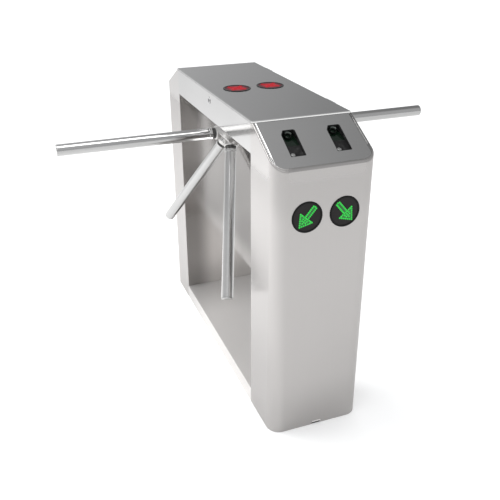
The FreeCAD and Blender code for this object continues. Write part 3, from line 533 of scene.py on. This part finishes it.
# steel beads in the grooves along the sloping panels' long edges, widening over the fold's end at the corners
def bead(side, end):
    """A bar between the panel's fold and the shell's edge; sections across it, from the slope's top to the turn of the corner."""
    def fold(x):
        """Depth of the panel's rolled edge, with a little clearance."""
        d = min(max(x - 143.5, 0.0), 5.0)
        return max(0.12 - 5.0 + math.sqrt(25.0 - d * d), -3.1)

    stations = [389.9, 390.3, 391.4, 420.0, 450.0, 480.0, 496.0] + [500.0 + 1.25 * k for k in range(38)] + [547.0]
    verts, m = [], 9
    for k, y in enumerate(stations):
        shut = {0: 0.35, 1: 0.8, len(stations) - 1: 0.5}.get(k, 1.0)
        arc = max(0.0, y - 518.0)
        edge = 116.5 + math.sqrt(1024.0 - arc * arc) + 0.15
        arc = max(0.0, y - 517.0)
        wall = 117.3 + math.sqrt(33.2 ** 2 - arc * arc) - 0.15
        t = min(max((y - 500.0) / 18.0, 0.0), 1.0)
        inner = min(edge, 148.65 - 3.2 * t * t * (3.0 - 2.0 * t))
        wide = wall - inner
        middle = 0.5 * (inner + edge)
        section = [(inner, -0.75 + 0.5 * t), (inner + 0.3 * wide, -0.5 + 0.22 * t), (inner + 0.65 * wide, -0.45 + 0.12 * t), (inner + 0.9 * wide, -0.6), (wall, -0.95),
                   (wall, -3.2), (edge, -3.2), (edge, -2.4 if inner > edge - 0.05 else min(-0.6, fold(edge))),
                   (middle, -1.6 if inner > edge - 0.05 else min(-0.35, fold(middle)))]
        for x, c in section:
            x, c = 0.5 * (inner + wall) + (x - 0.5 * (inner + wall)) * shut, -1.8 + (c + 1.8) * shut
            verts.append(Vector((side * x, end * y, 976.0 - (y - 388.0) * math.tan(SLOPE_ANGLE) + c / math.cos(SLOPE_ANGLE))) / 1000.0)
    faces = [tuple(range(m)), tuple((len(stations) - 1) * m + k for k in range(m))]
    for i in range(len(stations) - 1):
        faces += [(i * m + k, i * m + (k + 1) % m, (i + 1) * m + (k + 1) % m, (i + 1) * m + k) for k in range(m)]
    return verts, faces


piece("slope_edge_beads", [bead(side, end) for side in (-1.0, 1.0) for end in (-1.0, 1.0)], steel_x, "cabinet", 50.0)


# dark rubber bushes round the necks of the arms, between hub and collar; their dark is also painted shade in the necks
def about(origin, axis):
    axis = Vector(axis).normalized()
    side = axis.orthogonal().normalized()
    over = axis.cross(side)
    return lambda a, b, c: (Vector(origin) + side * a + over * b + axis * c) / 1000.0


def arm_axis(deg, side):
    """Direction of an arm of one tripod; the tripod's own directions are y, up-out and along its axis."""
    k = math.sqrt(0.5)
    a = math.radians(deg)
    y, u, w = k * math.cos(a), k * math.sin(a), -k
    return (side * (k * u - k * w), y, k * u + k * w)


for name, side in (("left", -1.0), ("right", 1.0)):
    rings = []
    for deg in (90.0, -30.0, 210.0):
        at = about((side * 82.0, 0.0, 838.0), arm_axis(deg, side))
        rings.append(lathe([(13.1, 58.4), (18.2, 58.4), (18.6, 59.2), (17.4, 61.6), (17.0, 63.5), (17.4, 65.4), (18.4, 67.8), (18.0, 68.6), (13.1, 68.6)], at, 36))
    piece(name + "_arm_bushes", rings, dark_bush_and_neck_shade, name + "_tripod")


# dark blocks set back in the notches at the foot of the end faces, painted shade in the notches
def notch_shade_block(end):
    """A dished block with a bevelled rim, clear of the shell all round."""
    rows = [(549.0, 12.6, 3.2), (550.0, 14.2, 4.0), (556.4, 14.2, 4.0), (556.9, 13.5, 3.4), (555.6, 11.0, 2.2), (552.0, 9.8, 1.4)]
    verts, m = [], 12
    for y, w, h in rows:
        r = min(1.4, 0.45 * h)
        for sx, sz, a0 in ((1, 1, 0), (-1, 1, 90), (-1, -1, 180), (1, -1, 270)):
            for k in range(3):
                a = math.radians(a0 + 45.0 * k)
                verts.append(Vector((3.0 + sx * (w - r) + r * math.cos(a), end * y, 4.5 + sz * (h - r) + r * math.sin(a))) / 1000.0)
    faces = [tuple(range(m)), tuple((len(rows) - 1) * m + k for k in range(m))]
    for i in range(len(rows) - 1):
        faces += [(i * m + k, i * m + (k + 1) % m, (i + 1) * m + (k + 1) % m, (i + 1) * m + k) for k in range(m)]
    return verts, faces


piece("notch_shade_blocks", [notch_shade_block(end) for end in (-1.0, 1.0)], rubber, "cabinet")


# glow plates just over the display faces, under the lights: the shape of the arrow
def arrow_plate(x, sgn, end):
    dip = math.radians(50.0)
    c, d = math.cos(dip), math.sin(dip)
    rim = [(-37.6, -7.4), (-37.6, 7.4), (3.0, 7.4), (3.0, 25.0), (6.4, 25.0), (38.0, 1.6), (38.0, -1.6), (6.4, -25.0), (3.0, -25.0), (3.0, -7.4)]
    out = []
    for depth, grow in ((558.2, 1.0), (558.75, 1.0), (558.95, 0.985)):
        for p, q in rim:
            p, q = p * grow, q * grow
            out.append(Vector((x + sgn * c * p + d * q, end * depth, 746.0 - d * p + sgn * c * q)) / 1000.0)
    m = len(rim)
    faces = [tuple(range(m)), tuple(range(2 * m, 3 * m))]
    for i in range(2):
        faces += [(i * m + k, i * m + (k + 1) % m, (i + 1) * m + (k + 1) % m, (i + 1) * m + k) for k in range(m)]
    return out, faces


piece("arrow_glow_plates", [arrow_plate(x, sgn, end) for x, sgn in ((-58.0, -1.0), (58.0, 1.0)) for end in (-1.0, 1.0)], green_glow, "cabinet")


# covers behind the lamps and displays, each with a cable spout
def cover_back(place, radius):
    return [dome(radius, 0.0, 7.2, place, 6, 40),
            lathe([(3.2, 6.4), (5.4, 6.4), (5.4, 9.0), (4.9, 9.6), (3.6, 9.6), (3.2, 9.2)], place, 24)]


def behind_lamp(x):
    return lambda a, b, c: Vector((x + a, b, 976.6 - c)) / 1000.0


def behind_display(x, end):
    return lambda a, b, c: Vector((x + a, end * (554.6 - c), 746.0 + b)) / 1000.0


piece("lamp_back_covers", [q for x in (-59.0, 59.0) for q in cover_back(behind_lamp(x), 40.2)], black_matt, "lid")
piece("display_back_covers", [q for x in (-58.0, 58.0) for end in (-1.0, 1.0) for q in cover_back(behind_display(x, end), 41.2)], black_matt, "cabinet")


# a raised ring round the face of the lock's plug
def on_plug(a, b, c):
    return Vector((-157.9 - c, a, 949.0 + b)) / 1000.0


piece("lock_face_ring", [lathe([(5.0, -0.3), (6.2, -0.3), (6.2, 0.1), (6.0, 0.3), (5.2, 0.3), (5.0, 0.1)], on_plug, 32)], plated, "lock_core")

# ---------------------------------------------------------------- floor, light, camera
floor_mesh = bpy.data.meshes.new("studio_floor")
floor_mesh.from_pydata([(-40, -40, 0), (40, -40, 0), (40, 40, 0), (-40, 40, 0)], [], [(0, 1, 2, 3)])
floor = bpy.data.objects.new("studio_floor", floor_mesh)
floor.location.z = -0.0005
scene.collection.objects.link(floor)
fm = Mat("pale_floor", roughness=0.75)
fm.set("Base Color", fm.ramp(fm.noise((1.5, 1.5, 1.5), 3.0), [(0.3, (0.86, 0.86, 0.86)), (0.7, (0.89, 0.89, 0.89))]))
fm.b.inputs["Emission Color"].default_value = (1.0, 1.0, 1.0, 1.0)
fm.b.inputs["Emission Strength"].default_value = 0.09
floor_mesh.materials.append(fm.m)

world = bpy.data.worlds.new("studio")
scene.world = world
world.use_nodes = True
wt = world.node_tree
bg = wt.nodes["Background"]
# a soft room: an even ceiling, a lighter front, and a back that falls off from left to right


def wmath(op, a, b=None):
    n = wt.nodes.new("ShaderNodeMath")
    n.operation = op
    for i, v in enumerate((a, b)):
        if isinstance(v, (int, float)):
            n.inputs[i].default_value = v
        elif v is not None:
            wt.links.new(v, n.inputs[i])
    return n.outputs["Value"]


def wspan(fac, lo, hi, stops):
    """Colours along a direction component: stops are (value of the component, radiance)."""
    n = wt.nodes.new("ShaderNodeMapRange")
    n.inputs["From Min"].default_value = lo
    n.inputs["From Max"].default_value = hi
    wt.links.new(fac, n.inputs["Value"])
    r = wt.nodes.new("ShaderNodeValToRGB")
    e = r.color_ramp.elements
    for i, (at, v) in enumerate(stops):
        p = (at - lo) / (hi - lo)
        s = e[i] if i < 2 else e.new(p)
        s.position = p
        s.color = (v * 0.99, v, v * 1.012, 1)
    wt.links.new(n.outputs["Result"], r.inputs["Fac"])
    return r.outputs["Color"]


def wmix(fac, a, b):
    n = wt.nodes.new("ShaderNodeMix")
    n.data_type = "RGBA"
    ins = [s for s in n.inputs if s.enabled]
    wt.links.new(fac, ins[0])
    wt.links.new(a, ins[1])
    wt.links.new(b, ins[2])
    return [s for s in n.outputs if s.enabled][0]


co = wt.nodes.new("ShaderNodeTexCoord")
sep = wt.nodes.new("ShaderNodeSeparateXYZ")
wt.links.new(co.outputs["Generated"], sep.inputs["Vector"])
X, Y, Z = (sep.outputs[k] for k in "XYZ")
back_wall = wspan(X, -1.0, 1.0, [(-1.0, 0.9), (1.0, 0.68), (-0.3, 0.9), (0.0, 0.78), (0.2, 0.6), (0.28, 0.52), (0.37, 0.44), (0.46, 0.345), (0.6, 0.36), (0.8, 0.55)])
front_wall = wspan(Z, -1.0, 1.0, [(-1.0, 0.86), (1.0, 0.68), (0.0, 0.71), (0.3, 0.73), (0.6, 0.73)])
ceiling = wspan(X, -1.0, 1.0, [(-1.0, 0.72), (1.0, 0.6), (-0.2, 0.84), (0.1, 0.8), (0.22, 0.62), (0.36, 0.53), (0.45, 0.45), (0.54, 0.35), (0.7, 0.4)])
ceiling_front = wspan(X, -1.0, 1.0, [(-1.0, 0.72), (1.0, 0.7), (-0.2, 0.84), (0.1, 0.8), (0.22, 0.62), (0.34, 0.54), (0.46, 0.7), (0.56, 0.74), (0.66, 0.6), (0.87, 0.64)])
fronting = wspan(Y, -1.0, 1.0, [(-1.0, 1.0), (1.0, 0.0), (-0.35, 1.0), (0.35, 0.0)])
height = wspan(Z, -1.0, 1.0, [(-1.0, 0.0), (1.0, 1.0), (0.28, 0.0), (0.62, 1.0)])
walls = wmix(fronting, back_wall, front_wall)
over = wspan(Y, -1.0, 1.0, [(-1.0, 1.0), (1.0, 0.0), (-0.42, 1.0), (-0.1, 0.0)])
wt.links.new(wmix(height, walls, wmix(over, ceiling, ceiling_front)), bg.inputs["Color"])
bg.inputs["Strength"].default_value = 1.0


def aim(obj, target):
    obj.rotation_euler = (Vector(target) - obj.location).to_track_quat("-Z", "Y").to_euler()


def sun(name, frm, energy, angle, color=(1, 1, 1)):
    d = bpy.data.lights.new(name, "SUN")
    d.energy, d.angle, d.color = energy, angle, color
    o = bpy.data.objects.new(name, d)
    scene.collection.objects.link(o)
    o.location = frm
    aim(o, (0, 0, 0))
    return o


def area(name, loc, target, size, size_y, energy, color=(1, 1, 1)):
    d = bpy.data.lights.new(name, "AREA")
    d.shape, d.size, d.size_y, d.energy, d.color = "RECTANGLE", size, size_y, energy, color
    o = bpy.data.objects.new(name, d)
    scene.collection.objects.link(o)
    o.location = loc
    aim(o, target)
    return o


sun("fill_sun", (0.0, 0.9, 3.6), 1.78, math.radians(165)).visible_glossy = False
area("side_pool", (-1.5, 0.9, 2.2), (-1.2, 0.9, 0.0), 1.6, 2.6, 50).visible_glossy = False
# softboxes, seen only in the metal; some are flagged off from pieces or kept to one
def receivers(light, names, state):
    c = bpy.data.collections.new(light.name + "_pieces")
    for n in names:
        c.objects.link(NODES[n])
    for link in c.collection_objects:
        link.light_linking.link_state = state
    light.light_linking.receiver_collection = c


SHELLS, LID = ["front_pedestal_shell", "rear_pedestal_shell"], ["top_lid"]
# (x0, x1, y0, y1, radiance, kept to, kept off) at 3 m over the floor
for i, (x0, x1, y0, y1, lum, to, off) in enumerate([
        (-0.9, 0.15, -0.42, 0.2, 3.2, None, LID),
        (-0.9, 0.15, -1.05, -0.42, 3.2, None, SHELLS + LID),
        (0.15, 0.62, -1.35, -0.6, 3.2, None, SHELLS + LID),
        (-1.5, -0.9, 0.0, 2.2, 3.2, None, LID),
        (-1.4, -0.9, -2.4, 0.0, 3.2, ["left_arm_top"], None),
        (-2.4, -1.35, -5.0, -2.7, 3.2, None, LID)]):
    c = ((x0 + x1) / 2, (y0 + y1) / 2)
    o = area("softbox_%d" % i, (*c, 3.0), (*c, 0.0), x1 - x0, y1 - y0, lum * 4 * (x1 - x0) * (y1 - y0))
    o.visible_diffuse = False
    if to:
        receivers(o, to, "INCLUDE")
    if off:
        receivers(o, off, "EXCLUDE")
# a low strip under the bridge for the level arm, and a panel over the left lane for the arm behind the bridge
o = area("strip_low", (0.1, -0.1, 0.062), (0.1, -0.1, 2.0), 0.2, 0.8, 3.0 * 4 * 0.16)
o.visible_diffuse = False
receivers(o, ["left_arm_top"], "INCLUDE")
o = area("panel_left", (-2.5, 0.4, 0.92), (0.0, 0.4, 0.92), 2.8, 1.8, 1.6 * 4 * 5.04)
o.visible_diffuse = False
receivers(o, ["right_arm_rear"], "INCLUDE")

cam_data = bpy.data.cameras.new("camera")
cam_data.sensor_width = 36.0
cam_data.lens = 672.682 / 500 * 36.0
cam = bpy.data.objects.new("camera", cam_data)
scene.collection.objects.link(cam)
az, el, roll = math.radians(-20.849), math.radians(26.595), math.radians(-0.144)
back = Vector((math.sin(az) * math.cos(el), -math.cos(az) * math.cos(el), math.sin(el)))
right = Vector((0, 0, 1)).cross(back).normalized()
up = back.cross(right)
cr, sr = math.cos(roll), math.sin(roll)
rx, ux = right * cr + up * sr, up * cr - right * sr
cam.matrix_world = Matrix((
    (rx.x, ux.x, back.x, -0.809874),
    (rx.y, ux.y, back.y, -2.088671),
    (rx.z, ux.z, back.z, 1.495704),
    (0, 0, 0, 1)))
scene.camera = cam
scene.view_settings.view_transform = "Standard"
scene.view_settings.look = "None"
scene.view_settings.exposure = 0.0
scene.view_settings.gamma = 1.0
